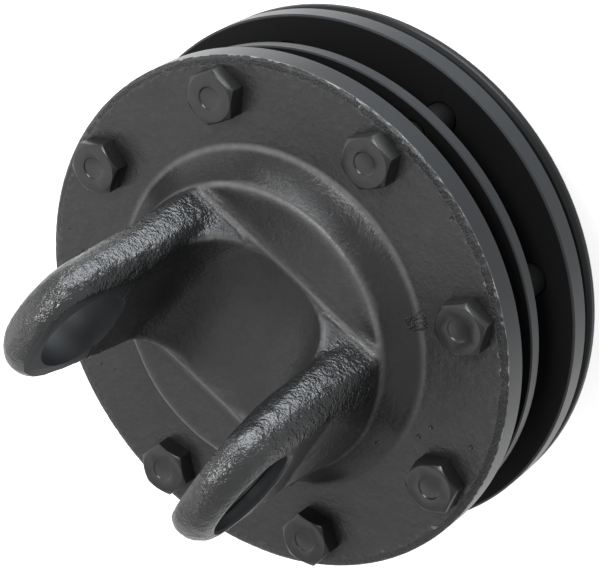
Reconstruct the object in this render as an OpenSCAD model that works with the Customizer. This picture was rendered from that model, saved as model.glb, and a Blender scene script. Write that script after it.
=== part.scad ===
// Friction coupling for a drive shaft: a slip clutch with four friction discs.
// The flange yoke, the bolted plates and the disc spring turn with one shaft;
// the splined hub and the front drive plate turn with the other.
// Z runs along the shaft: the hub's end stands on z = 0 and the yoke's ears point up.
// X is the axis of the ear bores.

/* [Bolts] */
// Diameter of the circle on which the bolts stand
bolt_pcd = 175; // [172:0.5:182]
// Number of clamping bolts
bolt_count = 8; // [4:1:10]
// Nominal diameter of the clamping bolts
bolt_d = 12; // [10:0.5:14]
// Width across the flats of heads and nuts
hex_af = 19; // [17:0.5:21]
// Height of a bolt head
head_h = 7.5; // [6:0.5:9]
// Diameter of the shallow dish in a bolt head
head_dish_d = 8; // [6:0.5:11]
// Height of the hexagon part of a lock nut
nut_hex_h = 9; // [8:0.5:12]
// Height of the round collar that holds the nut's lock ring
nut_collar_h = 3; // [2.5:0.1:4]
// Diameter of that collar
nut_collar_d = 17.6; // [17:0.1:19]
// Width of the lock ring round the bolt
lock_ring_w = 2; // [1.2:0.1:2.4]
// Radial play of a bolt in its holes
bolt_play = 0.5; // [0.3:0.1:0.8]
// Length of bolt that stands out of its nut
bolt_tail = 3.2; // [2:0.1:8]

/* [Flange yoke] */
// Metal outside the bolt circle on the flange
flange_edge = 14; // [12:0.5:20]
// Thickness of the flange
flange_t = 10.5; // [9.5:0.5:14]
// Diameter of the boss's flat top
boss_d = 114.4; // [108:0.2:120]
// Height of the boss above the flange face
boss_h = 12.8; // [10:0.2:16]
// Width of the boss's hollow flank
flank_w = 9.6; // [7:0.2:11]
// Radius of that hollow
flank_r = 30; // [20:1:60]
// Distance between the two crests of the band that carries the ears
band_w = 69.2; // [67:0.2:74]
// Height of the crests above the boss's top
band_h = 1.6; // [1:0.1:2.4]
// Width of the slope outside each crest
band_slope_w = 2.6; // [1.6:0.2:4]
// Depth of the flat between the crests
band_sink = 0.5; // [0.2:0.1:0.8]
// Thickness of metal between the pocket's lowest line and the flange face
floor_h = 5.5; // [4:0.5:9]
// Radius of the fillet between the pocket and the ears
pocket_fillet = 24; // [14:0.5:27]
// Gap between the two ears at their roots
ear_gap = 62; // [56:1:70]
// Thickness of one ear at its root
ear_t = 20.5; // [18:0.5:24]
// Height above the flange face from which the gap between the ears widens
ear_taper_from = 62; // [50:1:70]
// Lean of the ears' inner faces above that height, in degrees
ear_taper = 9; // [2:0.5:10]
// Distance from the flange face to the axis of the ear bores
ear_reach = 74.5; // [70:0.5:84]
// Radius of the ear's rounded end
ear_r = 26.3; // [24.5:0.1:29]
// Height of the rounded end's centre above the bore's axis
ear_nose = 0.7; // [0:0.1:3]
// Width of the ear where it meets the boss
ear_root_w = 65; // [60:1:66]
// Height above the flange face at which the ear's outer face draws in
ear_waist_h = 40; // [34:1:46]
// Amount by which it draws in there
ear_waist = 1; // [0:0.1:1.5]
// Radius that rounds the ear's inner edges
ear_edge_in = 6; // [3:0.5:7]
// Radius that rounds the ear's outer edges
ear_edge_out = 9.5; // [5:0.5:9.5]
// Diameter of the bore in each ear for a bearing cup
ear_bore_d = 36; // [30:0.5:38]
// Width of the retaining ring groove in an ear bore
ring_groove_w = 1.9; // [1.2:0.1:2.6]
// Radial depth of the retaining ring groove
ring_groove_depth = 1.2; // [0.6:0.1:1.8]
// Metal left outside that groove
ring_groove_land = 4; // [3:0.1:6]

/* [Friction pack] */
// Gap between the friction discs' rims and the bolts
disc_gap = 0.5; // [0.3:0.1:3]
// Bore of a friction disc
disc_bore_d = 90; // [88:0.5:100]
// Thickness of a friction disc
disc_t = 3.5; // [2.5:0.1:5]
// Thickness of the front drive plate
front_plate_t = 6.3; // [5:0.1:9]
// Thickness of the intermediate plate
middle_plate_t = 5.7; // [4:0.1:9]
// Metal outside the bolt circle on the intermediate plate
middle_plate_edge = 10.5; // [8:0.5:16]
// Thickness of the pressure plate
pressure_plate_t = 8.8; // [7:0.2:12]
// Metal outside the bolt circle on the pressure plate
pressure_plate_edge = 16.5; // [12:0.5:20]
// Bore of the intermediate and pressure plates
plate_bore_d = 92; // [88:1:98]

/* [Disc spring] */
// Metal outside the bolt circle on the disc spring
spring_edge = 16.2; // [14:0.2:20]
// Bore of the disc spring
spring_bore_d = 104; // [96:1:116]
// Thickness of the disc spring
spring_t = 4.2; // [3:0.1:5.5]
// Height of the spring's inner cone
spring_rise = 2.1; // [1.5:0.1:4]
// Height by which the spring's outer lip bends away from the pressure plate
spring_lip = 2.1; // [1:0.1:3]

/* [Hub] */
// Diameter of the hub's nose, which runs in the pilot bush
nose_d = 52; // [46:0.5:54]
// Thickness of the hub's own flange
hub_flange_t = 8.2; // [6:0.2:12]
// Tip diameter of the teeth that drive the front plate
teeth_tip_d = 84; // [80:0.5:86]
// Height of those teeth
teeth_h = 4; // [3:0.1:4.5]
// Number of those teeth
teeth_count = 20; // [12:1:24]
// Gap between these teeth and the front plate
teeth_play = 0.15; // [0.1:0.05:0.3]
// Gap between these teeth and the yoke
teeth_end_gap = 2; // [1:0.5:3]
// Diameter of the hub's collar behind its flange
collar_d = 78; // [74:1:84]
// Length of that collar
collar_len = 17; // [12:0.5:20]
// Length of the cone between the collar and the barrel
collar_cone = 6; // [4:0.5:10]
// Diameter of the hub's barrel
barrel_d = 60; // [58:1:66]
// Length of the hub behind its flange
hub_tail = 58.8; // [56:0.2:80]
// Large diameter of the bore's six splines
spline_major_d = 34.93; // [34:0.01:36]
// Small diameter of the splined bore
spline_minor_d = 29.8; // [28:0.1:31]
// Width of one spline slot
spline_w = 8.69; // [7:0.01:9]
// Number of splines
spline_count = 6; // [4:1:8]
// Wall of the pilot bush
bush_wall = 3.95; // [3:0.05:6]
// Depth of the recess for the bush and its washer
pilot_depth = 8.5; // [7.5:0.5:9]
// Thickness of the thrust washer
thrust_t = 2; // [1:0.1:3]
// Width of the thrust washer
thrust_w = 9; // [7:0.5:12]
// Axial gap between the hub's nose and the thrust washer
nose_gap = 0.3; // [0.1:0.1:0.6]
// Running clearance between shafts and their bores, on the radius
run_play = 0.05; // [0.02:0.01:0.1]

/* [Lock pin] */
// Diameter of the lock pin
pin_d = 15; // [14:0.5:16]
// Diameter of the pin's waist
waist_d = 9; // [8:0.5:10]
// Diameter of the pin's button
button_d = 10; // [8:0.5:11]
// Travel of the lock pin when its button is pressed
pin_travel = 12; // [11:0.5:14]
// Height of the pin's axis above the hub's end
pin_height = 14; // [13.5:0.5:20]
// Length of the pin's locking land
land_len = 14.5; // [14:0.5:16]
// Length of the pin's guide land
guide_len = 5.5; // [4:0.5:8]
// Length by which the button still stands out when it is pressed
button_stand = 2; // [1:0.5:4]
// Outside diameter of the boss round the pin
pin_boss_d = 26; // [25:0.5:27]
// Wall behind the spring's chamber
pin_wall = 5.5; // [4:0.5:8]
// Outside diameter of the pin's retaining cap
cap_d = 18; // [17:0.5:19]
// Thickness of that cap
cap_t = 4; // [3:0.5:6]
// Thickness of the retaining ring that holds the cap
snap_t = 1; // [0.8:0.1:1.5]
// Depth of the retaining ring's groove
snap_groove = 0.8; // [0.5:0.1:1.2]
// Metal outside the retaining ring's groove
snap_land = 1.5; // [1:0.1:2.5]
// Wire diameter of the pin's spring
wire_d = 1.2; // [0.8:0.1:1.4]
// Number of turns of the pin's spring
wire_turns = 7; // [5:1:8]
// Length of the spring inside the pin
coil_room = 10; // [8:0.5:12]

/* [Hidden] */
$fn = 96;
// Overlap of a cutting tool past the surface that it opens
over = 1;
// Sides of the faceted forms
soft_fn = 32;
// Angles to which the bolts happen to be turned
bolt_turns = [38, 50, 48, 56, 40, 52, 14, 20];
// Small chamfer that breaks a machined edge
broken = 0.6;

// Diameters that follow from the bolt circle and the hub's nose
flange_d = bolt_pcd + 2 * flange_edge;
middle_plate_d = bolt_pcd + 2 * middle_plate_edge;
pressure_plate_d = bolt_pcd + 2 * pressure_plate_edge;
spring_d = bolt_pcd + 2 * spring_edge;
disc_outer_d = bolt_pcd - bolt_d - 2 * disc_gap;
hole_d = bolt_d + 2 * bolt_play;
bush_od = nose_d + 2 * run_play + 2 * bush_wall;
hex_corner_r = hex_af / sqrt(3);
nut_h = nut_hex_h + nut_collar_h;

// Heights of the stack, counted up from the hub's end
z_hub_flange = hub_tail;
z_disc_4 = z_hub_flange - disc_t;
z_press = z_disc_4 - pressure_plate_t;
z_nut_seat = z_press - spring_rise - spring_t;
z_nut = z_nut_seat - nut_h;
z_bolt_end = z_nut - bolt_tail;
z_disc_3 = z_hub_flange + hub_flange_t;
z_middle = z_disc_3 + disc_t;
z_disc_2 = z_middle + middle_plate_t;
z_front = z_disc_2 + disc_t;
z_disc_1 = z_front + front_plate_t;
z_flange = z_disc_1 + disc_t;
z_face = z_flange + flange_t;
z_boss = z_face + boss_h;
z_band = z_boss + band_h - band_sink;
z_ear = z_face + ear_reach;
z_pilot = z_flange + pilot_depth;
z_nose = z_pilot - thrust_t - nose_gap;

// Places on the yoke
pocket_r = ear_reach - floor_h;
ear_in = ear_gap / 2;
ear_out = ear_in + ear_t;
z_nose_centre = z_ear + ear_nose;
z_taper = z_face + ear_taper_from;
z_waist = z_face + ear_waist_h;

// Places along the lock pin, counted from the shaft's axis
teeth_root_d = teeth_tip_d - 2 * teeth_h;
pin_x = (spline_major_d + waist_d) / 2 + run_play;
shaft_half = sqrt(pow(spline_major_d / 2, 2) - pow(pin_x - pin_d / 2, 2));
waist_len = 2 * shaft_half + 1.5;
waist_y = pin_travel - waist_len / 2;
pin_end_y = waist_y - land_len;
cap_y = waist_y + waist_len + guide_len;
snap_y = cap_y + cap_t;
pin_face_y = snap_y + snap_t + snap_land;
chamber_y = pin_end_y - pin_travel - 1;
boss_end_y = chamber_y - pin_wall;
coil_d = waist_d - 0.6 - wire_d;

// Holes or solids repeated on the bolt circle
module on_bolt_circle() {
    for (i = [0 : bolt_count - 1])
        rotate([0, 0, i * 360 / bolt_count]) translate([bolt_pcd / 2, 0, 0]) children();
}

// Round plate with a bore, both rims broken by a small chamfer
module ring_plate(od, id, t, edge = 0.5) {
    rotate_extrude() polygon([
        [id / 2, edge], [id / 2 + edge, 0], [od / 2 - edge, 0], [od / 2, edge],
        [od / 2, t - edge], [od / 2 - edge, t], [id / 2 + edge, t], [id / 2, t - edge]
    ]);
}

// Hexagon with its corners turned to a chamfer at the top, and below too if asked
module hexagon(h, chamfer_low = false) {
    face_r = hex_af * 0.475;
    drop = (hex_corner_r - face_r) * tan(30);
    intersection() {
        cylinder(r = hex_corner_r, h = h, $fn = 6);
        rotate_extrude() polygon([
            [0, 0], [chamfer_low ? face_r : hex_corner_r, 0],
            [hex_corner_r, chamfer_low ? drop : 0],
            [hex_corner_r, h - drop], [face_r, h], [0, h]
        ]);
    }
}

// Outline of straight-sided teeth round a circle
module tooth_ring(root_r, tip_r, count, grow = 0) {
    step = 360 / count;
    root_half = step * 0.29;
    tip_half = step * 0.2;
    flank = grow * 180 / (PI * tip_r);
    polygon([for (i = [0 : count - 1]) each [
        for (corner = [
            [root_r + grow, -root_half - flank], [tip_r + grow, -tip_half - flank],
            [tip_r + grow, tip_half + flank], [root_r + grow, root_half + flank]
        ]) corner[0] * [cos(i * step + corner[1]), sin(i * step + corner[1])]
    ]]);
}

// Section of the boss: its flank is an arc that hollows the slope down to the flange
module boss_section() {
    top_r = boss_d / 2;
    slope = norm([flank_w, boss_h]);
    out = sqrt(pow(flank_r, 2) - pow(slope / 2, 2)) / slope;
    difference() {
        translate([0, -over]) square([top_r + flank_w, boss_h + over]);
        intersection() {
            translate([top_r + flank_w / 2 + boss_h * out, boss_h / 2 + flank_w * out])
                circle(r = flank_r, $fn = 180);
            translate([top_r, 0]) square([flank_w + over, boss_h + over]);
        }
    }
}

// Flange with its boss
module yoke_blank() {
    translate([0, 0, z_flange]) rotate_extrude() polygon([
        [0, 0], [flange_d / 2 - broken, 0], [flange_d / 2, broken],
        [flange_d / 2, flange_t - 2 * broken], [flange_d / 2 - 3 * broken, flange_t], [0, flange_t]
    ]);
    translate([0, 0, z_face]) rotate_extrude() boss_section();
}

// Band across the boss: two crests with a slope outside and a shallow flat between them
module ear_band() {
    crest = band_w / 2;
    crest_w = 1.2;
    intersection() {
        translate([-boss_d / 2, 0, z_boss]) rotate([90, 0, 90]) linear_extrude(boss_d) polygon([
            [-crest - band_slope_w, -over], [crest + band_slope_w, -over],
            [crest + band_slope_w, 0], [crest, band_h], [crest - crest_w, band_h],
            [crest - crest_w - band_sink, band_h - band_sink],
            [crest_w - crest + band_sink, band_h - band_sink],
            [crest_w - crest, band_h], [-crest, band_h], [-crest - band_slope_w, 0]
        ]);
        translate([0, 0, z_boss - 2 * over]) cylinder(d = boss_d - 1, h = band_h + 3 * over);
    }
}

// Half the ear's width at a height between its root and its end
function ear_half(z) = let (share = (z - z_band) / (z_nose_centre - z_band))
    ear_root_w / 2 * (1 - share) + ear_r * share;

// The ear's bored end: a disc with two rounded edges, turned about the bore's axis
module ear_end() {
    lean = tan(ear_taper) * (z_nose_centre + ear_r - z_taper) * 0.6;
    translate([ear_in, 0, z_nose_centre]) rotate([0, 90, 0]) rotate_extrude($fn = 2 * soft_fn) {
        square([ear_r - ear_edge_out, ear_t]);
        translate([ear_r - ear_edge_in, ear_edge_in + lean]) circle(r = ear_edge_in, $fn = soft_fn);
        translate([ear_r - ear_edge_out, ear_t - ear_edge_out])
            circle(r = ear_edge_out, $fn = soft_fn);
    }
}

// Thin slice through the ear's waist
module ear_middle() {
    half = ear_half(z_waist);
    translate([0, 0, z_waist]) linear_extrude(0.5) for (side = [-1, 1]) {
        translate([ear_in + ear_edge_in, side * (half - ear_edge_in)])
            circle(r = ear_edge_in, $fn = soft_fn);
        translate([ear_out - ear_waist - ear_edge_out, side * (half - ear_edge_out)])
            circle(r = ear_edge_out, $fn = soft_fn);
    }
}

// The ear's root, where it runs out to the edge of the boss
module ear_root(h) {
    translate([0, 0, z_band - h]) linear_extrude(h) intersection() {
        circle(d = boss_d - 0.6, $fn = 96);
        offset(r = ear_edge_in, $fn = soft_fn) offset(delta = -ear_edge_in)
            translate([ear_in, -ear_root_w / 2]) square([boss_d / 2, ear_root_w]);
    }
}

// One ear, and the foot that fills the pocket's fillet
module ear_blank() {
    root_h = 4;
    foot_top = z_ear - sqrt(pow(pocket_r - pocket_fillet, 2) - pow(ear_r, 2));
    foot_half = ear_half(foot_top) - ear_edge_in + over;
    hull() {
        ear_end();
        ear_middle();
    }
    hull() {
        ear_middle();
        ear_root(root_h);
    }
    hull() {
        translate([ear_in - pocket_fillet, -ear_root_w / 2, z_band - root_h])
            cube([pocket_fillet + ear_edge_in, ear_root_w, root_h]);
        translate([ear_in - over / 2, -foot_half, foot_top]) cube([over, 2 * foot_half, over]);
    }
}

// Wedge that leans the ears' inner faces apart towards their ends
module ear_taper_cut() {
    high = z_nose_centre + ear_r + over;
    spread = ear_in + (high - z_taper) * tan(ear_taper);
    translate([0, ear_root_w, 0]) rotate([90, 0, 0]) linear_extrude(2 * ear_root_w)
        polygon([[-ear_in, z_taper], [ear_in, z_taper], [spread, high], [-spread, high]]);
}

// Room for the joint cross: turned about the ear axis, with rounded inner corners
module cross_pocket() {
    translate([0, 0, z_ear]) rotate([0, 90, 0]) translate([0, 0, -ear_in]) rotate_extrude() {
        square([pocket_r - pocket_fillet, ear_gap]);
        translate([0, pocket_fillet]) square([pocket_r, ear_gap - 2 * pocket_fillet]);
        for (y = [pocket_fillet, ear_gap - pocket_fillet])
            translate([pocket_r - pocket_fillet, y]) circle(r = pocket_fillet);
    }
}

// Bearing cup bore through both ears, with a chamfer and a ring groove at each end
module ear_bores() {
    bore_r = ear_bore_d / 2;
    lead = 2 * broken;
    translate([0, 0, z_ear]) rotate([0, 90, 0]) {
        cylinder(r = bore_r, h = 2 * max(ear_out, boss_d / 2) + 2 * over, center = true);
        for (end = [0, 1]) mirror([0, 0, end]) {
            translate([0, 0, ear_out - ring_groove_land - ring_groove_w])
                cylinder(r = bore_r + ring_groove_depth, h = ring_groove_w);
            translate([0, 0, ear_out - lead])
                cylinder(r1 = bore_r, r2 = bore_r + lead + over, h = lead + over);
        }
    }
}

module flange_yoke() {
    color([0.13, 0.13, 0.14]) difference() {
        union() {
            yoke_blank();
            ear_band();
            for (end = [0, 1]) mirror([end, 0, 0]) ear_blank();
        }
        cross_pocket();
        ear_taper_cut();
        ear_bores();
        translate([0, 0, z_flange - over]) {
            on_bolt_circle() cylinder(d = hole_d, h = flange_t + 2 * over);
            cylinder(d = bush_od, h = pilot_depth + over);
        }
    }
}

module pilot_bush() {
    color([0.62, 0.47, 0.27]) translate([0, 0, z_flange])
        ring_plate(bush_od, nose_d + 2 * run_play, pilot_depth - thrust_t);
}

module thrust_washer() {
    color([0.62, 0.47, 0.27]) translate([0, 0, z_pilot - thrust_t])
        ring_plate(bush_od, bush_od - 2 * thrust_w, thrust_t, 0.3);
}

module friction_disc(z) {
    color([0.20, 0.19, 0.17]) translate([0, 0, z])
        ring_plate(disc_outer_d, disc_bore_d, disc_t, 0.3);
}

module front_drive_plate() {
    color([0.36, 0.37, 0.39]) translate([0, 0, z_front]) difference() {
        ring_plate(disc_outer_d, teeth_root_d, front_plate_t);
        translate([0, 0, -over]) {
            linear_extrude(front_plate_t + 2 * over)
                tooth_ring(teeth_root_d / 2, teeth_tip_d / 2, teeth_count, teeth_play);
            cylinder(d = teeth_root_d + 2 * teeth_play, h = front_plate_t + 2 * over);
        }
    }
}

// Plate that the bolts pass through
module bolted_plate(z, od, t) {
    translate([0, 0, z]) difference() {
        ring_plate(od, plate_bore_d, t, broken);
        translate([0, 0, -over]) on_bolt_circle() cylinder(d = hole_d, h = t + 2 * over);
    }
}

module intermediate_plate() {
    color([0.15, 0.15, 0.16]) bolted_plate(z_middle, middle_plate_d, middle_plate_t);
}

module pressure_plate() {
    color([0.15, 0.15, 0.16]) bolted_plate(z_press, pressure_plate_d, pressure_plate_t);
}

// Dished spring: its bore's edge bears on the pressure plate, the nuts seat on its flat
// ring, and its outer lip bends back round them. Drawn downwards from the pressure plate
module disc_spring() {
    bore_r = spring_bore_d / 2;
    outer_r = spring_d / 2;
    seat_in = bolt_pcd / 2 - hex_corner_r - bolt_play;
    seat_out = bolt_pcd / 2 + hex_corner_r + bolt_play;
    lip = spring_rise + spring_lip;
    soft = spring_t * 0.3;
    color([0.15, 0.15, 0.16]) translate([0, 0, z_press]) mirror([0, 0, 1]) difference() {
        rotate_extrude() polygon([
            [bore_r, 0], [seat_in, spring_rise], [seat_out, spring_rise],
            [outer_r - soft, lip - soft / 2], [outer_r - soft / 4, lip + soft / 4],
            [outer_r, lip + soft], [outer_r, lip + spring_t - soft],
            [outer_r - soft / 4, lip + spring_t - soft / 4], [outer_r - soft, lip + spring_t],
            [seat_out, spring_rise + spring_t], [seat_in, spring_rise + spring_t],
            [bore_r, spring_t]
        ]);
        translate([0, 0, -over]) on_bolt_circle()
            cylinder(d = hole_d, h = lip + spring_t + 2 * over);
    }
}

// Hexagon bolt: chamfered head with a shallow dish, plain shank, pointed end
module clamp_bolt() {
    point = bolt_d / 10;
    dish = 0.5;
    translate([0, 0, z_face]) difference() {
        hexagon(head_h);
        translate([0, 0, head_h - dish])
            cylinder(d1 = head_dish_d, d2 = head_dish_d + 2 * dish + 2 * over, h = dish + over);
    }
    translate([0, 0, z_bolt_end]) {
        cylinder(d1 = bolt_d - 2 * point, d2 = bolt_d, h = point);
        translate([0, 0, point]) cylinder(d = bolt_d, h = z_face - z_bolt_end - point);
    }
}

module clamp_bolts() {
    color([0.17, 0.17, 0.18]) for (i = [0 : bolt_count - 1]) let (a = i * 360 / bolt_count)
        rotate([0, 0, a]) translate([bolt_pcd / 2, 0, 0])
            rotate([0, 0, bolt_turns[i % len(bolt_turns)] - a]) clamp_bolt();
}

// Lock nut: its hexagon seats on the spring, its collar holds the lock ring
module lock_nut() {
    rim = 0.6;
    difference() {
        union() {
            translate([0, 0, nut_collar_h]) hexagon(nut_hex_h, true);
            cylinder(d1 = nut_collar_d - 2 * rim, d2 = nut_collar_d, h = rim);
            translate([0, 0, rim]) cylinder(d = nut_collar_d, h = nut_collar_h);
        }
        translate([0, 0, -over]) cylinder(r = bolt_d / 2 + run_play, h = nut_h + 2 * over);
        translate([0, 0, rim]) cylinder(d = bolt_d + 2 * lock_ring_w, h = nut_collar_h - rim);
    }
}

module lock_nuts() {
    color([0.17, 0.17, 0.18]) translate([0, 0, z_nut]) on_bolt_circle() lock_nut();
}

module nut_lock_rings() {
    rim = 0.6;
    color([0.75, 0.74, 0.68]) translate([0, 0, z_nut + rim]) on_bolt_circle() difference() {
        cylinder(r = bolt_d / 2 + lock_ring_w - run_play, h = nut_collar_h - rim);
        translate([0, 0, -over]) cylinder(r = bolt_d / 2 + run_play, h = nut_collar_h + over);
    }
}

// Six-spline bore with a lead-in at the hub's end
module spline_bore() {
    length = z_nose + 2 * over;
    lead = (spline_major_d - spline_minor_d) / 2 + over;
    translate([0, 0, -over]) {
        cylinder(d = spline_minor_d, h = length);
        intersection() {
            cylinder(d = spline_major_d, h = length);
            for (i = [0 : spline_count - 1]) rotate([0, 0, i * 360 / spline_count])
                translate([0, -spline_w / 2, 0]) cube([spline_major_d, spline_w, length]);
        }
        cylinder(r1 = spline_minor_d / 2 + lead + over, r2 = spline_minor_d / 2, h = lead + over);
    }
}

// Cross bore: spring chamber, pin, retaining cap and the groove of its ring
module pin_bore() {
    translate([pin_x, 0, pin_height]) rotate([-90, 0, 0]) {
        translate([0, 0, chamber_y]) cylinder(r = pin_d / 2 + run_play, h = cap_y - chamber_y + over);
        translate([0, 0, cap_y]) cylinder(d = cap_d, h = 2 * pin_d);
        translate([0, 0, snap_y]) cylinder(d = cap_d + 2 * snap_groove, h = snap_t);
    }
}

module splined_hub() {
    step_edge = 1;
    color([0.40, 0.41, 0.43]) difference() {
        union() {
            // Barrel, collar, flange, neck and nose
            rotate_extrude() polygon([
                [0, 0], [barrel_d / 2 - 2 * step_edge, 0], [barrel_d / 2, 2 * step_edge],
                [barrel_d / 2, z_hub_flange - collar_len - collar_cone],
                [collar_d / 2, z_hub_flange - collar_len], [collar_d / 2, z_hub_flange],
                [disc_outer_d / 2 - step_edge, z_hub_flange],
                [disc_outer_d / 2, z_hub_flange + step_edge],
                [disc_outer_d / 2, z_disc_3 - step_edge], [disc_outer_d / 2 - step_edge, z_disc_3],
                [teeth_root_d / 2, z_disc_3], [teeth_root_d / 2, z_flange - teeth_end_gap],
                [nose_d / 2 + 3 * step_edge, z_flange - step_edge],
                [nose_d / 2, z_flange - step_edge],
                [nose_d / 2, z_nose - step_edge], [nose_d / 2 - step_edge, z_nose], [0, z_nose]
            ]);
            // Teeth for the front drive plate
            translate([0, 0, z_disc_2]) linear_extrude(z_flange - teeth_end_gap - z_disc_2)
                tooth_ring(teeth_root_d / 2 - 0.5, teeth_tip_d / 2, teeth_count);
            // Boss round the lock pin
            translate([pin_x, 0, pin_height]) rotate([-90, 0, 0]) translate([0, 0, boss_end_y])
                cylinder(d = pin_boss_d, h = pin_face_y - boss_end_y);
        }
        spline_bore();
        pin_bore();
    }
}

// Pin with a locking land, a waist that frees the shaft, a guide land and a button
module lock_pin() {
    guide = land_len + waist_len;
    shoulder = guide + guide_len;
    tip = shoulder + (pin_face_y - cap_y) + pin_travel + button_stand;
    soft = 1.5;
    color([0.60, 0.61, 0.63]) translate([pin_x, 0, pin_height]) rotate([-90, 0, 0]) difference() {
        translate([0, 0, pin_end_y]) rotate_extrude() polygon([
            [0, 0], [pin_d / 2 - broken, 0], [pin_d / 2, broken], [pin_d / 2, land_len - broken],
            [waist_d / 2, land_len + 2], [waist_d / 2, guide],
            [pin_d / 2, guide], [pin_d / 2, shoulder], [button_d / 2, shoulder],
            [button_d / 2, tip - soft], [button_d / 2 - soft, tip], [0, tip]
        ]);
        translate([0, 0, pin_end_y - over]) cylinder(d = waist_d, h = coil_room + over);
    }
}

// Wound wire: a ring of points carried along the helix
module lock_pin_spring() {
    sides = 8;
    rings = wire_turns * 16;
    low = chamber_y + wire_d / 2;
    high = pin_end_y + coil_room - wire_d / 2;
    points = [for (i = [0 : rings]) let (a = 360 * wire_turns * i / rings)
        for (k = [0 : sides - 1]) let (b = 360 * k / sides, r = coil_d / 2 + wire_d / 2 * cos(b))
            [r * cos(a), r * sin(a), low + (high - low) * i / rings + wire_d / 2 * sin(b)]];
    walls = [for (i = [0 : rings - 1], k = [0 : sides - 1]) let (n = (k + 1) % sides)
        [i * sides + k, (i + 1) * sides + k, (i + 1) * sides + n, i * sides + n]];
    caps = [[for (k = [0 : sides - 1]) k], [for (k = [0 : sides - 1]) rings * sides + sides - 1 - k]];
    color([0.55, 0.56, 0.58]) translate([pin_x, 0, pin_height]) rotate([-90, 0, 0])
        polyhedron(points, concat(walls, caps), convexity = 12);
}

module lock_pin_cap() {
    color([0.52, 0.53, 0.55]) translate([pin_x, cap_y, pin_height]) rotate([-90, 0, 0])
        ring_plate(cap_d, button_d + 2 * run_play, cap_t, 0.4);
}

// Retaining ring sprung into its groove: a gap, and two drilled lugs beside it
module lock_pin_ring() {
    ring_r = cap_d / 2 + snap_groove - run_play;
    ring_w = 2;
    gap_half = 20;
    lug_half = 28;
    lug_r = 1.6;
    lug_at = ring_r - lug_r - 0.3;
    color([0.30, 0.30, 0.32]) translate([pin_x, snap_y, pin_height]) rotate([-90, 0, 0]) difference() {
        union() {
            difference() {
                cylinder(r = ring_r, h = snap_t);
                translate([0, 0, -over]) cylinder(r = ring_r - ring_w, h = snap_t + 2 * over);
                translate([0, 0, -over]) linear_extrude(snap_t + 2 * over) polygon([
                    [0, 0], cap_d * [cos(gap_half), -sin(gap_half)],
                    cap_d * [cos(gap_half), sin(gap_half)]
                ]);
            }
            for (side = [-1, 1]) rotate([0, 0, side * lug_half])
                translate([lug_at, 0, 0]) cylinder(r = lug_r, h = snap_t);
        }
        for (side = [-1, 1]) rotate([0, 0, side * lug_half])
            translate([lug_at, 0, -over]) cylinder(r = lug_r * 0.4, h = snap_t + 2 * over);
    }
}

flange_yoke();
pilot_bush();
thrust_washer();
friction_disc(z_disc_1);  // friction_disc_1
front_drive_plate();
friction_disc(z_disc_2);  // friction_disc_2
intermediate_plate();
friction_disc(z_disc_3);  // friction_disc_3
friction_disc(z_disc_4);  // friction_disc_4
pressure_plate();
disc_spring();
clamp_bolts();
lock_nuts();
nut_lock_rings();
splined_hub();
lock_pin();
lock_pin_spring();
lock_pin_cap();
lock_pin_ring();
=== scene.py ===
# %% [markdown]
# A friction coupling, dressed over its construction model.
#
# The construction model already holds every piece of this coupling at full size, as far as one
# photograph and the usual sizes give it: the flange yoke, the bolted plates, the friction discs, the
# disc spring and the splined hub. This lesson gives those pieces the look of the real thing: a
# sand-cast yoke and turned plates under satin black paint. Loading the model first means that each
# piece is already in its place.

import math

import bpy
from mathutils import Matrix, Vector


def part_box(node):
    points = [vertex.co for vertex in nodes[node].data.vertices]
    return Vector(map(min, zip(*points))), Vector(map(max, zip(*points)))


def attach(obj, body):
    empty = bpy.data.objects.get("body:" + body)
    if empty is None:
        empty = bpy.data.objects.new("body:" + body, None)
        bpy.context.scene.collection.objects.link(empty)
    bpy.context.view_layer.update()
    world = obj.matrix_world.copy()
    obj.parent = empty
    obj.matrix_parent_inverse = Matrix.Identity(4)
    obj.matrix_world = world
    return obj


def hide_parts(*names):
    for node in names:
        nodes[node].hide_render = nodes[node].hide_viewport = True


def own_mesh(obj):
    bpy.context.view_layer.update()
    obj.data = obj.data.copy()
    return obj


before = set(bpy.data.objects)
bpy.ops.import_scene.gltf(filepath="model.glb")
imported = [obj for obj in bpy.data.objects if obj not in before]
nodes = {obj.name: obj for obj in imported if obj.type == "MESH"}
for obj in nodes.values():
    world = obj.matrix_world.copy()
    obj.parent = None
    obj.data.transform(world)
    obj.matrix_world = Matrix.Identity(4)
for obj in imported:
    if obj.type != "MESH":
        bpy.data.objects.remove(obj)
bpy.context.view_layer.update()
MM = 0.001

# %% [markdown]
# A few sizes of the coupling come up again and again: where the flange's front and back faces lie,
# how far out its rim is, where the ears' bores are and where the bolts stand. Some heights and radii
# are read from the boxes of the loaded pieces. The rest repeats the construction's own values.

# %% Sizes of the flange and its bolts
yoke_low, yoke_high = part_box("flange_yoke")
FLANGE_RADIUS = yoke_high.x
FLANGE_BACK = yoke_low.z
HEAD_HEIGHT = 7.5 * MM
FLANGE_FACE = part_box("clamp_bolts")[1].z - HEAD_HEIGHT
BOLT_COUNT = 8
BOLT_CIRCLE = 87.5 * MM
HOLE_RADIUS = 6.5 * MM
PILOT_RADIUS = 30 * MM
PILOT_DEPTH = 8.5 * MM
print("flange face at", round(FLANGE_FACE / MM, 2), "mm, rim at radius", round(FLANGE_RADIUS / MM, 2), "mm")

# %% Sizes of the ears
EAR_RADIUS = 26.3 * MM
EAR_NOSE = 0.7 * MM
EAR_BORE = 18 * MM
EAR_AXIS = yoke_high.z - EAR_RADIUS - EAR_NOSE
EAR_INSIDE = 31 * MM
EAR_OUTSIDE = 51.5 * MM
EAR_LEAN = math.radians(9)
LEAN_FROM = FLANGE_FACE + 62 * MM
GROOVE_WIDTH = 1.9 * MM
GROOVE_DEPTH = 1.2 * MM
GROOVE_LAND = 4 * MM
print("axis of the ears' bores at", round(EAR_AXIS / MM, 2), "mm")

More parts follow.
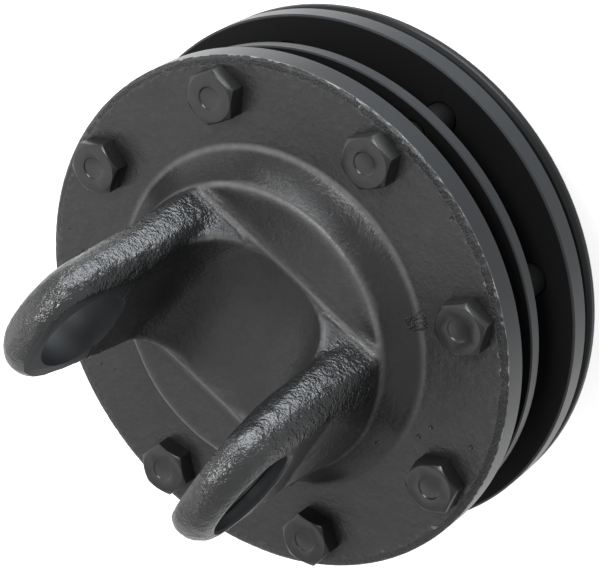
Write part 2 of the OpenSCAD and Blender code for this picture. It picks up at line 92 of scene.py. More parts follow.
# %% Sizes of the boss, and the outer radii of the plates
BOSS_TOP = FLANGE_FACE + 12.8 * MM
BOSS_RADIUS = 57.2 * MM
BOSS_FOOT = BOSS_RADIUS + 9.6 * MM
BAND_EDGE = 34 * MM
BAND_TOP = BOSS_TOP + 1.6 * MM
POCKET_REACH = 71.5 * MM
MIDDLE_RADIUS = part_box("intermediate_plate")[1].x
PRESSURE_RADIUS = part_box("pressure_plate")[1].x
SPRING_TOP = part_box("disc_spring")[1].z
print("plates reach out to", round(MIDDLE_RADIUS / MM, 1), "and", round(PRESSURE_RADIUS / MM, 1), "mm")

# %% [markdown]
# The camera stands about where the photographer stood: roughly a metre away, looking down on the yoke
# from its side, and turned far round its own line of sight, so that the ears point to the lower left.
# A long lens keeps the near and the far side of a rim at nearly the same scale. The place, the aim
# and the turn were fitted to the rims, the bores and the bolt heads in the photograph.

# %% Camera
CAMERA_PLACE = Vector((0.2081, 0.6272, 0.8367))
CAMERA_AIM = Vector((0.00307, 0.02152, 0.1))
CAMERA_TURN = math.radians(-122.326)
CAMERA_LENS = 160
SENSOR_WIDTH = 36

camera_data = bpy.data.cameras.new("studio_camera")
camera_data.lens = CAMERA_LENS
camera_data.sensor_width = SENSOR_WIDTH
camera = bpy.data.objects.new("studio_camera", camera_data)
bpy.context.collection.objects.link(camera)
sight = (CAMERA_AIM - CAMERA_PLACE).normalized()
upright = sight.to_track_quat("-Z", "Y").to_matrix()
rolled = upright @ Matrix.Rotation(CAMERA_TURN, 3, "Z")
camera.matrix_world = Matrix.Translation(CAMERA_PLACE) @ rolled.to_4x4()
bpy.context.scene.camera = camera
CAMERA_RIGHT = rolled.col[0]
CAMERA_UP = rolled.col[1]
CAMERA_BACK = rolled.col[2]
print("camera is", round((CAMERA_PLACE - CAMERA_AIM).length, 3), "m from the coupling")

# %% [markdown]
# Every finish below is a small sum of masks and noises. Wiring Math nodes by hand hides such a sum,
# so the output of a node is wrapped in a class that Python's own signs work on. A mask is then
# written as it would be said: height above the flange, times distance from the axis.

# %% A node's output that does arithmetic
class Value:
    """The output of a node, which Python's own signs can add to, take from and multiply."""

    def __init__(self, graph, socket):
        self.graph = graph
        self.socket = socket

    def __add__(self, other):
        return self.graph.maths("ADD", self, other)

    def __sub__(self, other):
        return self.graph.maths("SUBTRACT", self, other)

    def __rsub__(self, other):
        return self.graph.maths("SUBTRACT", other, self)

    def __mul__(self, other):
        return self.graph.maths("MULTIPLY", self, other)

    def __pow__(self, other):
        return self.graph.maths("POWER", self, other)

    __radd__ = __add__
    __rmul__ = __mul__

    def above(self, edge, softness):
        """0 below the edge, 1 above it, with a soft step between."""
        return self.graph.maths("MULTIPLY", self - (edge - softness / 2), 1 / softness, clamp=True)

    def below(self, edge, softness):
        """1 below the edge, 0 above it, with a soft step between."""
        return 1 - self.above(edge, softness)

    def near(self, middle, reach):
        """1 at the middle, fading to 0 before it is as far away as the reach."""
        return self.graph.maths("ABSOLUTE", self - middle).below(reach * 0.6, reach * 0.8)


# %% A node tree, and one method that adds any node to it
class Graph:
    """A node tree that starts empty."""

    def __init__(self, tree):
        self.tree = tree
        tree.nodes.clear()

    def node(self, kind, settings=(), **inputs):
        """Adds a node: first its settings, then a value or a link for each named socket."""
        made = self.tree.nodes.new(kind)
        for name, value in dict(settings).items():
            setattr(made, name, value)
        for name, value in inputs.items():
            self.feed(made, name, value)
        return made

    def feed(self, made, name, value):
        """Gives one socket, found by its name or as nth0, nth1 and so on, a value or a link."""
        key = int(name[3:]) if name.startswith("nth") else name.replace("_", " ")
        if isinstance(value, Value):
            value = value.socket
        if isinstance(value, bpy.types.NodeSocket):
            self.tree.links.new(value, made.inputs[key])
        else:
            made.inputs[key].default_value = value

    def maths(self, operation, first, second=0.0, clamp=False):
        """One Math node."""
        settings = {"operation": operation, "use_clamp": clamp}
        made = self.node("ShaderNodeMath", settings, nth0=first, nth1=second)
        return Value(self, made.outputs[0])

    def looked_at(self):
        """1 for what the camera sees, also through glass or in a reflection, and 0 for light."""
        path = self.node("ShaderNodeLightPath").outputs
        direct = self.maths("ADD", path["Is Camera Ray"], path["Is Transmission Ray"])
        return self.maths("ADD", direct, path["Is Glossy Ray"], clamp=True)


# %% A material, with the patterns that the finishes are made of
class Finish(Graph):
    """One material: its main shader, and the places, noises and bumps that feed it."""

    def __init__(self, name, **constants):
        self.material = bpy.data.materials.new(name)
        self.material.use_nodes = True
        super().__init__(self.material.node_tree)
        self.shader = self.node("ShaderNodeBsdfPrincipled", **constants)
        self.output = self.node("ShaderNodeOutputMaterial", Surface=self.shader.outputs[0])
        self.place = self.node("ShaderNodeTexCoord").outputs["Object"]

    def axis(self, letter):
        """One coordinate of the surface point, in metres."""
        split = self.node("ShaderNodeSeparateXYZ", Vector=self.place)
        return Value(self, split.outputs[letter])

    def from_shaft(self):
        """Distance of the surface point from the shaft's axis."""
        x = self.axis("X")
        y = self.axis("Y")
        return (x * x + y * y) ** 0.5

    def from_spot(self, spot):
        """Distance of the surface point from one place."""
        made = self.node("ShaderNodeVectorMath", {"operation": "DISTANCE"}, nth0=self.place, nth1=spot)
        return Value(self, made.outputs["Value"])

    def noise(self, size, detail=3.0, roughness=0.5):
        """Cloudy noise from 0 to 1 whose lumps are about this many metres across."""
        made = self.node(
            "ShaderNodeTexNoise", Vector=self.place, Scale=1 / size, Detail=detail, Roughness=roughness,
        )
        return Value(self, made.outputs[0])

    def cells(self, size):
        """Distance to the nearest of many scattered points, in cells of this size."""
        made = self.node("ShaderNodeTexVoronoi", Vector=self.place, Scale=1 / size)
        return Value(self, made.outputs["Distance"])

    def blend(self, factor, first, second):
        """Mixes two colours."""
        made = self.node("ShaderNodeMix", {"data_type": "RGBA"}, nth0=factor, nth6=first, nth7=second)
        return made.outputs[2]

    def relief(self, height, depth, strength=1.0, under=None):
        """A bump of this many metres, which can lie over another."""
        inputs = {"Height": height, "Distance": depth, "Strength": strength}
        if under is not None:
            inputs["Normal"] = under
        return self.node("ShaderNodeBump", **inputs).outputs[0]

    def drive(self, **sockets):
        """Feeds sockets of the main shader."""
        for name, value in sockets.items():
            self.feed(self.shader, name, value)
        return self.material

    def mix(self, factor, first, second):
        """Passes from the first shader to the second as the factor goes from 0 to 1."""
        return self.node("ShaderNodeMixShader", nth0=factor, nth1=first.outputs[0], nth2=second.outputs[0])

    def show(self, shader):
        """Makes this shader the one that the surface shows."""
        self.feed(self.output, "Surface", shader.outputs[0])
        return self.material


# %% Plain colours
WHITE = (1, 1, 1, 1)


def grey(level, tint=0.0):
    """A grey as a colour; a positive tint leans it towards blue."""
    return (level * (1 - tint), level, level * (1 + tint), 1)


print("a dark paint as a colour:", grey(0.014, 0.14))

# %% [markdown]
# Black paint shows very little of its own colour. What the eye reads as its shape is the reflection
# of the room, so the light is made of large soft panels in a white room. The walls look white to the
# camera and in reflections, but they light the coupling only at a plain level, so that black stays
# black. The floor takes the coupling's soft shadow, while reflections and bounced light go through it
# to the walls. From below it can be seen through, so that the underside can be looked at.

# %% The white room
ROOM_LIGHT = 0.32
world = bpy.data.worlds.new("white_room")
bpy.context.scene.world = world
world.use_nodes = True
room = Graph(world.node_tree)
strength = room.node("ShaderNodeMix", nth0=room.looked_at(), nth2=ROOM_LIGHT, nth3=1.0)
walls = room.node("ShaderNodeBackground", Color=WHITE, Strength=strength.outputs[0])
room.node("ShaderNodeOutputWorld", Surface=walls.outputs[0])
print("the room lights the coupling at", ROOM_LIGHT, "and looks white")

# %% The floor
FLOOR_RADIUS = 3.0
FLOOR_GLOW = 0.8
bpy.ops.object.select_all(action="DESELECT")
bpy.ops.mesh.primitive_circle_add(vertices=64, radius=FLOOR_RADIUS, fill_type="NGON")
floor = bpy.context.active_object
floor.name = "floor"
paper = Finish("floor_paper", Base_Color=grey(0.62), Roughness=0.9)
glow = paper.node("ShaderNodeEmission", Color=WHITE, Strength=FLOOR_GLOW)
lit = paper.node("ShaderNodeAddShader", nth0=paper.shader.outputs[0], nth1=glow.outputs[0])
topside = paper.mix(paper.looked_at(), paper.shader, lit)
underside = paper.node("ShaderNodeNewGeometry").outputs["Backfacing"]
clear = paper.node("ShaderNodeBsdfTransparent")
floor.data.materials.append(paper.show(paper.mix(underside, topside, clear)))
floor.visible_shadow = False
floor.visible_diffuse = False
floor.visible_glossy = False
print("the floor is", 2 * FLOOR_RADIUS, "m across")

# %% The lamps
PANEL_DISTANCE = 2.6


def make_lamp(name, right, up, back, size, power, tint=(1, 1, 1)):
    """A square soft panel, placed as seen from the camera, that faces the coupling."""
    data = bpy.data.lights.new(name, "AREA")
    data.shape = "SQUARE"
    data.size = size
    data.energy = power
    data.color = tint
    lamp = bpy.data.objects.new(name, data)
    bpy.context.collection.objects.link(lamp)
    away = (CAMERA_RIGHT * right + CAMERA_UP * up + CAMERA_BACK * back).normalized()
    lamp.location = CAMERA_AIM + away * PANEL_DISTANCE
    lamp.rotation_mode = "QUATERNION"
    lamp.rotation_quaternion = away.to_track_quat("Z", "Y")
    lamp.visible_camera = False


make_lamp("left_panel", -1.0, 0.05, 0.15, 3.4, 50)
make_lamp("low_panel", -0.6, -0.65, 0.45, 1.2, 9)
make_lamp("front_panel", -0.35, 0.22, 0.9, 0.9, 52)
make_lamp("back_panel", -0.1, 0.5, -0.85, 2.4, 10)
make_lamp("right_panel", 0.75, -0.3, -0.59, 1.6, 3)
make_lamp("top_panel", 0.3, 0.88, 0.3, 2.0, 110, (0.90, 0.95, 1))
make_lamp("boss_panel", -0.25, 0.9, 0.35, 0.8, 14)
bpy.context.scene.view_settings.view_transform = "Standard"
panels = [obj for obj in bpy.context.scene.objects if obj.type == "LIGHT"]
print("the room is lit by", len(panels), "panels and the pale walls")

# %% [markdown]
# The modelling below needs few steps, but it needs them often: pick a piece, add a modifier and
# apply it, turn a solid from its profile, put it in its place, and cut with it. Turning a solid is
# done as on a lathe. A circle is extruded and scaled from each point of the profile to the next.

# %% Helpers: picking, copying and joining
MERGE = 0.002 * MM


def pick(obj):
    """Selects one object alone and makes it the active one."""
    bpy.ops.object.select_all(action="DESELECT")
    obj.select_set(True)
    bpy.context.view_layer.objects.active = obj


def apply_modifier(obj, kind, **settings):
    """Adds a modifier with these settings and applies it at once."""
    pick(obj)
    modifier = obj.modifiers.new(kind.lower(), kind)
    for name, value in settings.items():
        setattr(modifier, name, value)
    bpy.ops.object.modifier_apply(modifier=modifier.name)


def free_copy(name, node):
    """A bare copy of a construction piece, with the doubled corners of its facets merged."""
    made = bpy.data.objects.new(name, nodes[node].data.copy())
    bpy.context.collection.objects.link(made)
    made.data.materials.clear()
    pick(made)
    bpy.ops.object.mode_set(mode="EDIT")
    bpy.ops.mesh.select_all(action="SELECT")
    bpy.ops.mesh.remove_doubles(threshold=MERGE)
    bpy.ops.object.mode_set(mode="OBJECT")
    return made


def joined(name, parts):
    """Makes one object of several."""
    pick(parts[0])
    for part in parts[1:]:
        part.select_set(True)
    bpy.ops.object.join()
    parts[0].name = name
    return parts[0]


# %% Helpers: turning, placing and cutting
def turned(name, profile, sides=128, ring=False):
    """A turned solid about Z: a circle extruded and scaled from each radius and height to the next.
    A ring starts as an open circle, and its last point meets its first."""
    bpy.ops.object.select_all(action="DESELECT")
    radius, height = profile[0]
    bpy.ops.mesh.primitive_circle_add(
        vertices=sides, radius=radius, location=(0, 0, height), fill_type="NOTHING" if ring else "NGON",
    )
    made = bpy.context.active_object
    made.name = name
    bpy.ops.object.mode_set(mode="EDIT")
    bpy.ops.mesh.select_all(action="SELECT")
    for next_radius, next_height in profile[1:] + (profile[:1] if ring else []):
        bpy.ops.mesh.extrude_region_move(TRANSFORM_OT_translate={"value": (0, 0, next_height - height)})
        grow = next_radius / radius
        bpy.ops.transform.resize(value=(grow, grow, 1), center_override=(0, 0, next_height))
        radius, height = next_radius, next_height
    bpy.ops.mesh.select_all(action="SELECT")
    bpy.ops.mesh.remove_doubles(threshold=MERGE)
    bpy.ops.mesh.normals_make_consistent(inside=False)
    bpy.ops.object.mode_set(mode="OBJECT")
    bpy.ops.object.transform_apply(location=True, rotation=True, scale=True)
    return made


def put(obj, rotation=(0, 0, 0), place=(0, 0, 0)):
    """Turns and then moves a finished solid, and lets its mesh keep the new place."""
    pick(obj)
    obj.rotation_euler = rotation
    obj.location = place
    bpy.ops.object.transform_apply(location=True, rotation=True, scale=True)
    return obj


def bolt_place(number):
    """The foot of one of the flange's bolt holes."""
    angle = number * math.tau / BOLT_COUNT
    return (BOLT_CIRCLE * math.cos(angle), BOLT_CIRCLE * math.sin(angle), FLANGE_BACK)


# %% [markdown]
# The yoke is one sand casting with a few machined places. It is made here in the same order as in the
# foundry. First comes a rough blank: the construction yoke with its holes stopped up and spare metal
# on the rim and the back. A voxel remesh makes one even skin of it, which modifiers can then shape.

# %% The casting: a blank with spare metal
SKIN = 1.0 * MM
SPARE = 2 * MM
QUARTER = math.pi / 2
EAR_WALL = EAR_OUTSIDE - EAR_INSIDE
FLANGE_THICK = FLANGE_FACE - FLANGE_BACK

blank = free_copy("yoke_casting", "flange_yoke")
spare_metal = [turned("rim_metal", [
    (FLANGE_RADIUS + SPARE, FLANGE_BACK - SPARE), (FLANGE_RADIUS + SPARE, FLANGE_FACE - 1.5 * MM),
])]
for side in (1, -1):
    plug = turned("plug", [(EAR_BORE + SPARE, 0), (EAR_BORE + SPARE, EAR_WALL - 0.5 * MM)], sides=64)
    spare_metal.append(put(plug, (0, side * QUARTER, 0), (side * EAR_INSIDE, 0, EAR_AXIS)))
for number in range(BOLT_COUNT):
    plug = turned("plug", [
        (HOLE_RADIUS + SPARE, 0), (HOLE_RADIUS + SPARE, FLANGE_THICK - 0.2 * MM),
    ], sides=32)
    spare_metal.append(put(plug, place=bolt_place(number)))
blank = joined("yoke_casting", [blank] + spare_metal)
apply_modifier(blank, "REMESH", mode="VOXEL", voxel_size=SKIN, adaptivity=0)
print("the blank has", len(blank.data.polygons), "faces")

# %% [markdown]
# A casting is softest where the pattern maker rounded it by hand, and roughest where the sand was
# loose. Three groups of points say where: the rim of the pocket, the sides of the ears and the edge of
# the flange. Smooth wears the first group down. Displace with cloud textures roughens the whole skin a
# little, and the other two groups more.

# %% The casting: where it is soft and where it is rough
def faded(value, start, end):
    """0 before the start, 1 past the end, and a straight slope between."""
    return min(max((value - start) / (end - start), 0.0), 1.0)


def rim_of_pocket(x, y, z):
    over_pocket = faded(z, FLANGE_FACE + 9 * MM, FLANGE_FACE + 12 * MM)
    below_ears = 1 - faded(z, FLANGE_FACE + 30 * MM, FLANGE_FACE + 75 * MM)
    between_ears = 1 - faded(abs(x), EAR_INSIDE + 2 * MM, EAR_INSIDE + 6 * MM)
    return 0.05 + 0.95 * over_pocket * below_ears * between_ears


def side_of_ear(x, y, z):
    from_bore = math.hypot(y, max(z - EAR_AXIS, 0))
    return faded(z, FLANGE_FACE + 20 * MM, FLANGE_FACE + 50 * MM) * faded(from_bore, 16 * MM, 24 * MM)


def edge_of_flange(x, y, z):
    return faded(math.hypot(x, y), FLANGE_RADIUS - 6 * MM, FLANGE_RADIUS - 3 * MM)


for zone in (rim_of_pocket, side_of_ear, edge_of_flange):
    group = blank.vertex_groups.new(name=zone.__name__)
    for vertex in blank.data.vertices:
        group.add([vertex.index], zone(*vertex.co), "REPLACE")
print("the blank's zones:", [group.name for group in blank.vertex_groups])

# %% The casting: worn soft and roughened
def roughen(size, strength, group=""):
    """Moves the skin in and out in soft lumps of this size."""
    lumps = bpy.data.textures.new("lumps", "CLOUDS")
    lumps.noise_scale = size
    lumps.noise_depth = 1
    apply_modifier(
        blank, "DISPLACE", texture=lumps, texture_coords="LOCAL",
        strength=strength, mid_level=0.5, vertex_group=group,
    )


apply_modifier(blank, "SMOOTH", factor=0.5, iterations=22, vertex_group="rim_of_pocket")
roughen(12 * MM, 0.3 * MM)
roughen(2.4 * MM, 0.10 * MM)
roughen(2.0 * MM, 0.5 * MM, "edge_of_flange")
roughen(6 * MM, 0.45 * MM, "side_of_ear")
roughen(2.0 * MM, 0.3 * MM, "side_of_ear")

# The lumps must not make the ears taller than the construction says.
for vertex in blank.data.vertices:
    vertex.co.z = min(vertex.co.z, yoke_high.z)
highest = max(vertex.co.z for vertex in blank.data.vertices)
print("the skin is rough, and its highest point is at", round(highest / MM, 2), "mm")

# %% [markdown]
# Then the machine shop's cuts follow, each with a true tool: the rim, the back, the holes, the bores
# and the faces round them. The tool that turns the rim breaks its edge and runs out in a flat cone
# that just grazes the uneven skin, so that a ragged border is left between smooth metal and rough
# casting, as on the real one. Each cut face keeps the tool's material, which is painted later.

# %% The casting: how a tool cuts
FAR = 14 * MM
cast_face = bpy.data.materials.new("cast_face")
turned_face = bpy.data.materials.new("turned_face")
FACES = (cast_face, turned_face)
TURNED_SLOT = 1
for material in FACES:
    blank.data.materials.append(material)


def cut(tool):
    """Takes the tool's shape out of the casting and marks the new faces as machined."""
    for material in FACES:
        tool.data.materials.append(material)
    for face in tool.data.polygons:
        face.material_index = TURNED_SLOT
    apply_modifier(blank, "BOOLEAN", operation="DIFFERENCE", solver="MANIFOLD", object=tool)
    bpy.data.objects.remove(tool)


# %% The casting: rim, back and bolt holes
EDGE_BREAK = 0.5 * MM
cut(turned("rim_tool", [
    (FLANGE_RADIUS, FLANGE_BACK - FAR), (FLANGE_RADIUS, FLANGE_FACE - 1.2 * MM),
    (FLANGE_RADIUS - EDGE_BREAK, FLANGE_FACE - 0.7 * MM), (FLANGE_RADIUS - 3.4 * MM, FLANGE_FACE + 0.15 * MM),
    (FLANGE_RADIUS - 4.4 * MM, FLANGE_FACE + FAR),
    (FLANGE_RADIUS + FAR, FLANGE_FACE + FAR), (FLANGE_RADIUS + FAR, FLANGE_BACK - FAR),
], sides=256, ring=True))
cut(turned("back_tool", [
    (FLANGE_RADIUS + FAR, FLANGE_BACK - FAR), (FLANGE_RADIUS + FAR, FLANGE_BACK),
    (PILOT_RADIUS, FLANGE_BACK), (PILOT_RADIUS, FLANGE_BACK + PILOT_DEPTH),
], sides=256))
for number in range(BOLT_COUNT):
    drill = turned("drill", [(HOLE_RADIUS, -FAR), (HOLE_RADIUS, 2 * FAR)], sides=48)
    cut(put(drill, place=bolt_place(number)))
print("the flange is turned and drilled:", len(blank.data.polygons), "faces")

# %% The casting: bores with their ring grooves, and the faces inside the ears
BORE_BREAK = EAR_OUTSIDE - 1.2 * MM
GROOVE_END = EAR_OUTSIDE - GROOVE_LAND
GROOVE_START = GROOVE_END - GROOVE_WIDTH
FACING_CUT = 0.35 * MM
FACING_SIZE = (40 * MM, 80 * MM, 90 * MM)
for side in (1, -1):
    bore_tool = turned("bore_tool", [
        (EAR_BORE, 0), (EAR_BORE, GROOVE_START), (EAR_BORE + GROOVE_DEPTH, GROOVE_START),
        (EAR_BORE + GROOVE_DEPTH, GROOVE_END), (EAR_BORE, GROOVE_END), (EAR_BORE, BORE_BREAK),
        (EAR_BORE + FAR, BORE_BREAK + FAR),
    ])
    cut(put(bore_tool, (0, side * QUARTER, 0), (0, 0, EAR_AXIS)))
    bpy.ops.object.select_all(action="DESELECT")
    bpy.ops.mesh.primitive_cube_add(size=1)
    facing = bpy.context.active_object
    facing.scale = FACING_SIZE
    put(facing, place=(-FACING_SIZE[0] / 2, 0, FACING_SIZE[2] / 2))
    put(facing, rotation=(0, EAR_LEAN, 0), place=(EAR_INSIDE + FACING_CUT, 0, LEAN_FROM))
    if side < 0:
        put(facing, rotation=(0, 0, math.pi))
    cut(facing)
pick(blank)
bpy.ops.object.shade_smooth_by_angle(angle=math.radians(38))
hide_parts("flange_yoke")
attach(blank, "yoke_side")
print("the finished yoke has", len(blank.data.polygons), "faces")

# %% [markdown]
# A forged bolt head has no sharp edge anywhere, and paint rounds it further. A small bevel on every
# edge of the construction bolts catches thin lines of light, fainter than those in the photograph.
# The flat facets are dissolved first, so that the bevel finds only the true edges.

# %% The bolts, with broken edges
HEAD_EDGE = 0.16 * MM
bolt_set = free_copy("painted_bolts", "clamp_bolts")
apply_modifier(bolt_set, "DECIMATE", decimate_type="DISSOLVE", angle_limit=math.radians(1.5))
apply_modifier(
    bolt_set, "BEVEL", width=HEAD_EDGE, segments=2,
    limit_method="ANGLE", angle_limit=math.radians(24), use_clamp_overlap=True,
)
pick(bolt_set)
bpy.ops.object.shade_smooth_by_angle(angle=math.radians(30))
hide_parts("clamp_bolts")
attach(bolt_set, "yoke_side")
print("the bolts have", len(bolt_set.data.polygons), "faces")

# %% [markdown]
# A small coil spring sits under the pin that locks the hub on its shaft. Round wire must look round, so
# the construction coil is copied and shaded smooth. When the pin is pressed, the coil gets shorter
# towards the bottom of its chamber. The joint leaves 11 mm of the coil's 23. The copy is left only 10.8
# mm long, so that it doesn't touch the pin.

# %% The coil under the lock pin
coil = free_copy("pin_coil", "lock_pin_spring")
pick(coil)
bpy.ops.object.shade_smooth_by_angle(angle=math.radians(50))
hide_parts("lock_pin_spring")
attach(coil, "hub_side")
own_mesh(coil)
print("the coil has", len(coil.data.polygons), "faces")

# %% [markdown]
# Everything in sight wears the same satin black paint, but it dries differently on each surface: thin
# and smooth over turned rims, thick and pebbly over raw sand casting. The casting comes first. Its
# patterns follow the piece itself, so a few distances on the yoke are measured in the shader: height,
# distance from the shaft's axis and distance from the axis of the ears' bores. The paint's specular
# level is lower than real paint's, about 0.5, because the white room washed the black out at that.

# %% Paint on the casting: distances to go by
PAINT_SHINE = 0.28
cast = Finish("cast_paint", Specular_IOR_Level=PAINT_SHINE)
height = cast.axis("Z")
across = cast.axis("Y")
along = cast.axis("X")
beside = cast.maths("ABSOLUTE", along)
radius = cast.from_shaft()
past_axis = cast.maths("MAXIMUM", height - EAR_AXIS, 0.0)
round_bores = (across * across + past_axis * past_axis) ** 0.5
from_bores = (across * across + (height - EAR_AXIS) * (height - EAR_AXIS)) ** 0.5
print("the casting's shader has", len(cast.tree.nodes), "nodes so far")

# %% [markdown]
# In the photograph the crests of the casting are lighter than its flats. Here they are painted lighter:
# partly as thin, worn paint, partly as a painted highlight. Blender's Pointiness finds the crests that
# the remesh kept sharp. The long ones on the boss are too soft for it, and are drawn from the distances.
# The painted highlight round the boss's foot is made weaker on two sides only because it is so in the
# photograph.

# %% Paint on the casting: wear and painted highlight on its crests
sharp = Value(cast, cast.node("ShaderNodeNewGeometry").outputs["Pointiness"]).above(0.520, 0.04)
top_edge = radius.near(BOSS_RADIUS - 0.6 * MM, 1.6 * MM) * height.near(BOSS_TOP - 0.6 * MM, 2.4 * MM)
foot = radius.near(BOSS_FOOT + 0.2 * MM, 1.8 * MM) * height.near(FLANGE_FACE, 1.6 * MM)
# The foot's painted highlight is made weaker towards negative y and towards positive x.
foot = foot * (0.15 + 0.85 * across.above(10 * MM, 70 * MM)) * (1 - 0.6 * along.above(38 * MM, 40 * MM))
band = cast.maths("ABSOLUTE", across).near(BAND_EDGE, 1.3 * MM) * height.near(BAND_TOP, 1.4 * MM)
crests = (top_edge + foot + band) * (0.35 + cast.noise(3 * MM, 3) * 0.9)
wear_and_highlight = cast.maths("MAXIMUM", sharp, crests)
print("the casting's shader has", len(cast.tree.nodes), "nodes so far")

# %% [markdown]
# Sand leaves its own marks: a pebbly skin all over, a few pits where a grain fell into the mould, and
# one rough scar beside the boss. All three are bumps under the paint, laid over one another.

# %% Paint on the casting: its skin
SCAR_PLACE = (46.5 * MM, 47.5 * MM, 100.5 * MM)
SCAR_SIZE = 5 * MM
pits = cast.cells(9 * MM).below(0.08, 0.06) * cast.noise(40 * MM, 1).above(0.60, 0.05)
scar = (cast.from_spot(SCAR_PLACE) + cast.noise(1.5 * MM, 3) * 3 * MM).below(SCAR_SIZE, 0.8 * MM)
skin = cast.relief(cast.noise(1.6 * MM, 3, 0.6), 0.6 * MM, 0.35)
skin = cast.relief(1 - pits, 0.5 * MM, 0.8, skin)
skin = cast.relief(cast.noise(1.1 * MM, 3) * scar, 2 * MM, 1.0, skin)
cloud = cast.noise(22 * MM, 4)
shade = cast.blend(cloud, grey(0.012), grey(0.018))
# The crests get a light grey: partly worn paint, partly a painted highlight.
shade = cast.blend(wear_and_highlight, shade, grey(0.10, -0.02))
# The pits are also painted darker, as painted shade in their hollows.
shade = cast.blend(pits * 0.7, shade, grey(0.010))
pocket = beside.below(EAR_INSIDE + 1 * MM, 2 * MM) * from_bores.above(64 * MM, 8 * MM)
pocket = pocket * height.below(FLANGE_FACE + 13.5 * MM, 1 * MM) * from_bores.below(POCKET_REACH, 1 * MM)
dull = cast.noise(6 * MM, 3).above(0.56, 0.10)
cast.drive(
    Base_Color=shade,
    Roughness=0.34 + (cloud - 0.5) * 0.10 + dull * 0.05 + pocket * 0.12,
    Normal=skin,
)
print("the casting's shader has", len(cast.tree.nodes), "nodes so far")

# %% [markdown]
# On the narrow sides of the ears the paint lies thick and glossy over a coarse, leathery skin. A second
# shader carries that gloss and its own bump, and a mask lets it take over there: away from the bores,
# above the pocket and on the outer part of each ear.

# %% Paint on the casting: thick on the ears
on_ears = round_bores.above(18 * MM, 6 * MM) * height.above(FLANGE_FACE + 16 * MM, 5 * MM)
on_ears = on_ears * beside.above(EAR_INSIDE - 1 * MM, 3 * MM)
grit = cast.relief(cast.noise(1.2 * MM, 2, 0.6), 0.5 * MM, 0.9)
thick = cast.node(
    "ShaderNodeBsdfPrincipled", Base_Color=grey(0.012, 0.04),
    Roughness=0.06 + cast.noise(9 * MM, 2) * 0.26, Specular_IOR_Level=0.5,
    Normal=cast.relief(cast.noise(3.6 * MM, 2), 0.9 * MM, 0.6, grit),
)
cast.show(cast.mix(on_ears, cast.shader, thick))
print("the casting's shader has", len(cast.tree.nodes), "nodes")

# %% [markdown]
# The turned and pressed pieces share one simple paint, nearly black and faintly cloudy, with a fine
# orange peel. Deep between the plates the photograph is nearly dead black, so the faces in there get a
# dead black as painted shade. A mask passes each paint to it where its surface lies inside.

# %% Paint on smooth metal
def black_paint(name, level, roughness, peel=0.3, tint=0.0, shine=PAINT_SHINE):
    """Satin black paint: nearly black, faintly cloudy, with a fine orange peel."""
    paint = Finish(name, Specular_IOR_Level=shine)
    cloud = paint.noise(25 * MM, 4)
    dust = paint.noise(0.5 * MM, 2)
    paint.drive(
        Base_Color=paint.blend(cloud, grey(level * 0.8, tint), grey(level * 1.2, tint)),
        Roughness=roughness + (cloud - 0.5) * 0.10 + (dust - 0.5) * 0.02,
        Normal=paint.relief(paint.noise(1.4 * MM, 2), 0.05 * MM, peel),
    )
    return paint


def with_painted_shade(paint, inside):
    """Lets a paint pass to dead black, a painted shade, where the mask says that a surface lies deep in the
    pack.
    """
    painted_shade = paint.node(
        "ShaderNodeBsdfPrincipled", Base_Color=grey(0.006), Roughness=0.6, Specular_IOR_Level=0.08,
    )
    return paint.show(paint.mix(inside, paint.shader, painted_shade))


# Each mask below marks where painted shade takes over: the plates' faces inside their rims, the spring's side
# towards the pack, and the bolts' shanks between the spring and the flange.
plate_paint = black_paint("plate_paint", 0.014, 0.30, 0.1, 0.14)
middle_plate = with_painted_shade(plate_paint, plate_paint.from_shaft().below(MIDDLE_RADIUS - 0.5 * MM, 0.3 * MM))
rear_paint = black_paint("rear_plate_paint", 0.016, 0.30, 0.1, 0.14)
rear_plate = with_painted_shade(rear_paint, rear_paint.from_shaft().below(PRESSURE_RADIUS - 0.9 * MM, 0.3 * MM))
# The spring's paint is darker than the other plates' paint as painted shade, and its highest 2.4 mm, towards
# the pack, pass to the dead black.
darkened_spring_coat = black_paint("spring_paint", 0.008, 0.34, 0.2, 0.04, 0.14)
spring_paint = with_painted_shade(darkened_spring_coat, darkened_spring_coat.axis("Z").above(SPRING_TOP - 2.4 * MM, 0.6 * MM))
bolt_coat = black_paint("bolt_paint", 0.014, 0.28, 0.4)
shank_in_painted_shade = bolt_coat.axis("Z").below(FLANGE_BACK, 0.5 * MM) * bolt_coat.axis("Z").above(SPRING_TOP, 0.5 * MM)
bolts = with_painted_shade(bolt_coat, shank_in_painted_shade)
hub_paint = black_paint("hub_paint", 0.03, 0.32, 0.4).material
print("five paints lie on smooth metal")

# %% [markdown]
# The machined faces of the casting wear that paint too, with three touches. Where the rim tool only
# grazed the rough face, the metal is torn and speckled. The broken edge of the rim is painted light in
# places, as a painted highlight. And the bores in the ears are duller, which brings them nearer to the
# photograph.

# %% Paint on the turned faces of the casting
turned_paint = black_paint("turned_paint", 0.014, 0.30, 0.15, 0.16)
up = turned_paint.axis("Z")
out = turned_paint.from_shaft()
torn = out.below(FLANGE_RADIUS - 0.6 * MM, 0.3 * MM) * up.above(FLANGE_FACE - 2 * MM, 0.5 * MM)
torn = torn * up.below(FLANGE_FACE + 2 * MM, 0.5 * MM)
specks = turned_paint.noise(1.3 * MM, 3, 0.7)
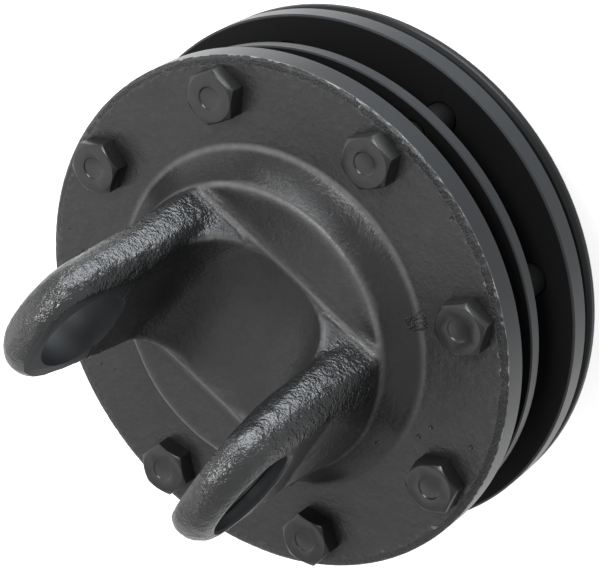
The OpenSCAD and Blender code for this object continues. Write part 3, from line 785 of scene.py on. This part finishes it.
# The lip is a painted highlight: a light grey, in places, on the rim's broken edge.
lip_highlight = out.near(FLANGE_RADIUS - 0.1 * MM, 0.5 * MM) * up.near(FLANGE_FACE - 0.9 * MM, 0.6 * MM)
in_places = turned_paint.noise(8 * MM, 2).above(0.4, 0.2)
in_bores = up.above(FLANGE_FACE + 20 * MM, 10 * MM)
turned_shade = turned_paint.blend(torn * specks.above(0.5, 0.1), grey(0.012, 0.16), grey(0.010))
turned_paint.drive(
    Roughness=0.27 + turned_paint.noise(25 * MM, 4) * 0.06 + in_bores * 0.2,
    Base_Color=turned_paint.blend(lip_highlight * in_places, turned_shade, grey(0.25)),
    Normal=turned_paint.relief(specks, 1.4 * MM, torn * 0.9),
)
print("the turned faces' shader has", len(turned_paint.tree.nodes), "nodes")

# %% [markdown]
# The photograph doesn't show the pieces inside, so they get what such pieces usually have: pressed
# friction lining, a bronze bush, nylon rings, zinc plating on the lock pin and oiled spring wire. The
# front drive plate is dead black. Each is one colour, faintly cloudy, with a fine grain.

# %% Bare metals, lining and nylon
def plain(name, colour, roughness, metallic=0.0, grain=0.5 * MM, **constants):
    """A plain metal or plastic: one colour, faintly cloudy, with a fine grain."""
    finish = Finish(name, Metallic=metallic, **constants)
    cloud = finish.noise(9 * MM, 3)
    dark = tuple(channel * 0.8 for channel in colour[:3]) + (1,)
    return finish.drive(
        Base_Color=finish.blend(cloud, dark, colour),
        Roughness=roughness + (cloud - 0.5) * 0.12,
        Normal=finish.relief(finish.noise(grain, 2), 0.03 * MM, 0.3),
    )


# The lining's own dark brown is made nearly black, as painted shade of the gaps.
lining = plain("friction_lining", (0.010, 0.009, 0.008, 1), 0.8, grain=0.8 * MM, Specular_IOR_Level=0.1)
# The front drive plate's dead black is painted shade of the gap it sits in.
pack_painted_shade = plain("pack_painted_shade", grey(0.006), 0.6, Specular_IOR_Level=0.08)
bronze = plain("bronze", (0.42, 0.27, 0.10, 1), 0.35, 1.0)
nylon = plain("nylon", (0.55, 0.52, 0.44, 1), 0.45)
zinc = plain("zinc_plating", (0.52, 0.54, 0.57, 1), 0.3, 1.0)
spring_wire = plain("oiled_spring_steel", grey(0.10), 0.35, 1.0)
print("six plain finishes for the pieces inside")

# %% Every piece gets its finish
FINISHES = {
    "flange_yoke": cast.material, "clamp_bolts": bolts, "lock_nuts": bolts,
    "intermediate_plate": middle_plate, "pressure_plate": rear_plate, "disc_spring": spring_paint,
    "splined_hub": hub_paint, "front_drive_plate": pack_painted_shade, "friction_disc_1": lining,
    "friction_disc_2": lining, "friction_disc_3": lining, "friction_disc_4": lining,
    "pilot_bush": bronze, "thrust_washer": nylon, "nut_lock_rings": nylon, "lock_pin": zinc,
    "lock_pin_cap": zinc, "lock_pin_ring": spring_wire, "lock_pin_spring": spring_wire,
}
for name, obj in nodes.items():
    obj.data.materials.clear()
    obj.data.materials.append(FINISHES[name])
bolt_set.data.materials.append(bolts)
coil.data.materials.append(spring_wire)
blank.data.materials[0] = cast.material
blank.data.materials[TURNED_SLOT] = turned_paint.material
print(len(FINISHES), "construction pieces and 3 new ones are finished")
